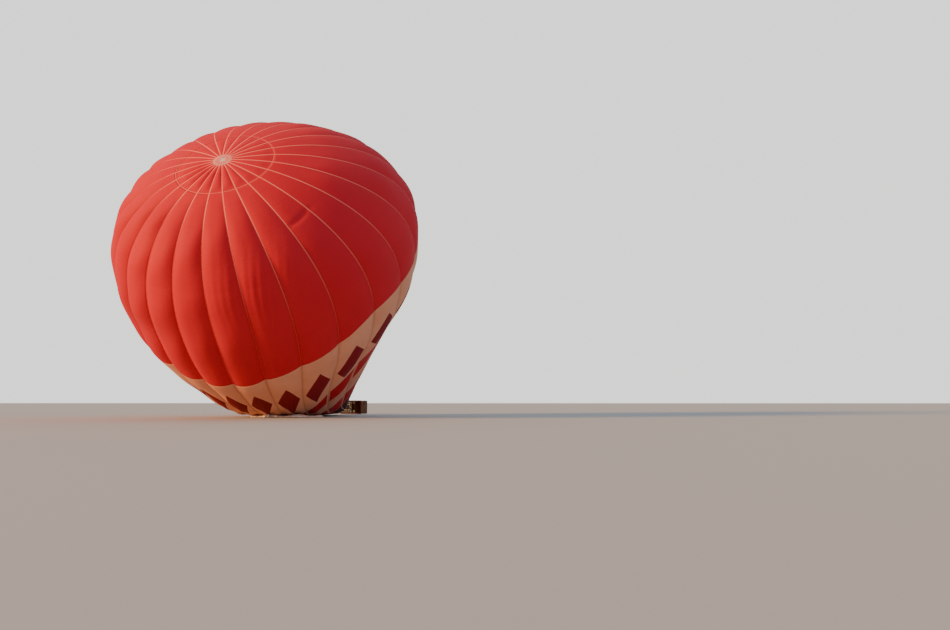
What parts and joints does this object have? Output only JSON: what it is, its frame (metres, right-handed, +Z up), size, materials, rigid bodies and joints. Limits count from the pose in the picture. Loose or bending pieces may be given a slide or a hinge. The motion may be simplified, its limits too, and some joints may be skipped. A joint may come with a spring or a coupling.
{
  "type": "hot air balloon",
  "caption": "Hot air balloon half stood up for launch: gored envelope with crown valve, cream and chequered bands, flying wires, load frame with gimballed burners, wicker basket on its side.",
  "frame": {"origin": "the envelope's centre of lift, where the air carries the balloon", "axes": "+Z up, crown leaning towards -Y, basket on the +Y side, +X across; the ground is 12.7 m below the origin"},
  "size_m": [24.526, 30.384, 25.3604],
  "materials": {
    "red_fabric": "coated ripstop nylon, red",
    "cream_fabric": "coated ripstop nylon, cream",
    "check_fabric": "coated ripstop nylon, red and cream checks",
    "mouth_fabric": "heat-proof woven cloth, dark",
    "load_tape": "woven polyester tape, pale salmon",
    "ring_metal": "turned, satin",
    "steel": "stainless, brushed",
    "plywood": "varnished plywood and ash",
    "wicker": "woven cane, varnished",
    "leather": "dark red suede over padding"
  },
  "bodies": {
    "root": {"gore_01": "red_fabric", "gore_02": "red_fabric", "gore_03": "red_fabric", "gore_04": "red_fabric", "gore_05": "red_fabric", "gore_06": "red_fabric", "gore_07": "red_fabric", "gore_08": "red_fabric", "gore_09": "red_fabric", "gore_10": "red_fabric", "gore_11": "red_fabric", "gore_12": "red_fabric", "gore_13": "red_fabric", "gore_14": "red_fabric", "gore_15": "red_fabric", "gore_16": "red_fabric", "gore_17": "red_fabric", "gore_18": "red_fabric", "gore_19": "red_fabric", "gore_20": "red_fabric", "gore_21": "red_fabric", "gore_22": "red_fabric", "gore_23": "red_fabric", "gore_24": "red_fabric", "cream_band": "cream_fabric", "check_band": "check_fabric", "mouth_skirt": "mouth_fabric", "crown_tapes": "load_tape", "crown_ring": "ring_metal", "basket_floor": "plywood", "basket_wall_low": "wicker", "basket_wall_high": "wicker", "basket_wall_left": "wicker", "basket_wall_right": "wicker", "basket_rim": "leather", "partition_left": "wicker", "partition_right": "wicker", "fuel_cylinder_1": "steel", "fuel_cylinder_2": "steel", "fuel_cylinder_3": "steel", "fuel_cylinder_4": "steel", "load_frame": "steel", "upright_low_left": "leather", "upright_low_right": "leather", "upright_high_right": "leather", "upright_high_left": "leather", "flying_wires_low_left": "steel", "flying_wires_low_right": "steel", "flying_wires_high_right": "steel", "flying_wires_high_left": "steel"},
    "valve": {"parachute_valve": "red_fabric"},
    "yoke": {"burner_yoke": "steel"},
    "burners": {"burner_pair": "steel"}
  },
  "joints": [
    {"name": "valve_slide", "type": "slide", "parent": "root", "child": "valve", "axis": [0, 0.7944, -0.6074], "range_m": [0, 1.2], "stiffness_N_per_m": 150, "springref_m": -1.5},
    {"name": "yoke_tilt", "type": "hinge", "parent": "root", "child": "yoke", "pos_m": [1.93814, 15.4868, -11.98], "axis": [0.9613, -0.2756, 0], "range_deg": [-20, 20]},
    {"name": "burner_tilt", "type": "hinge", "parent": "yoke", "child": "burners", "pos_m": [1.93814, 15.4868, -11.98], "axis": [0, 0, 1], "range_deg": [-20, 20]}
  ]
}
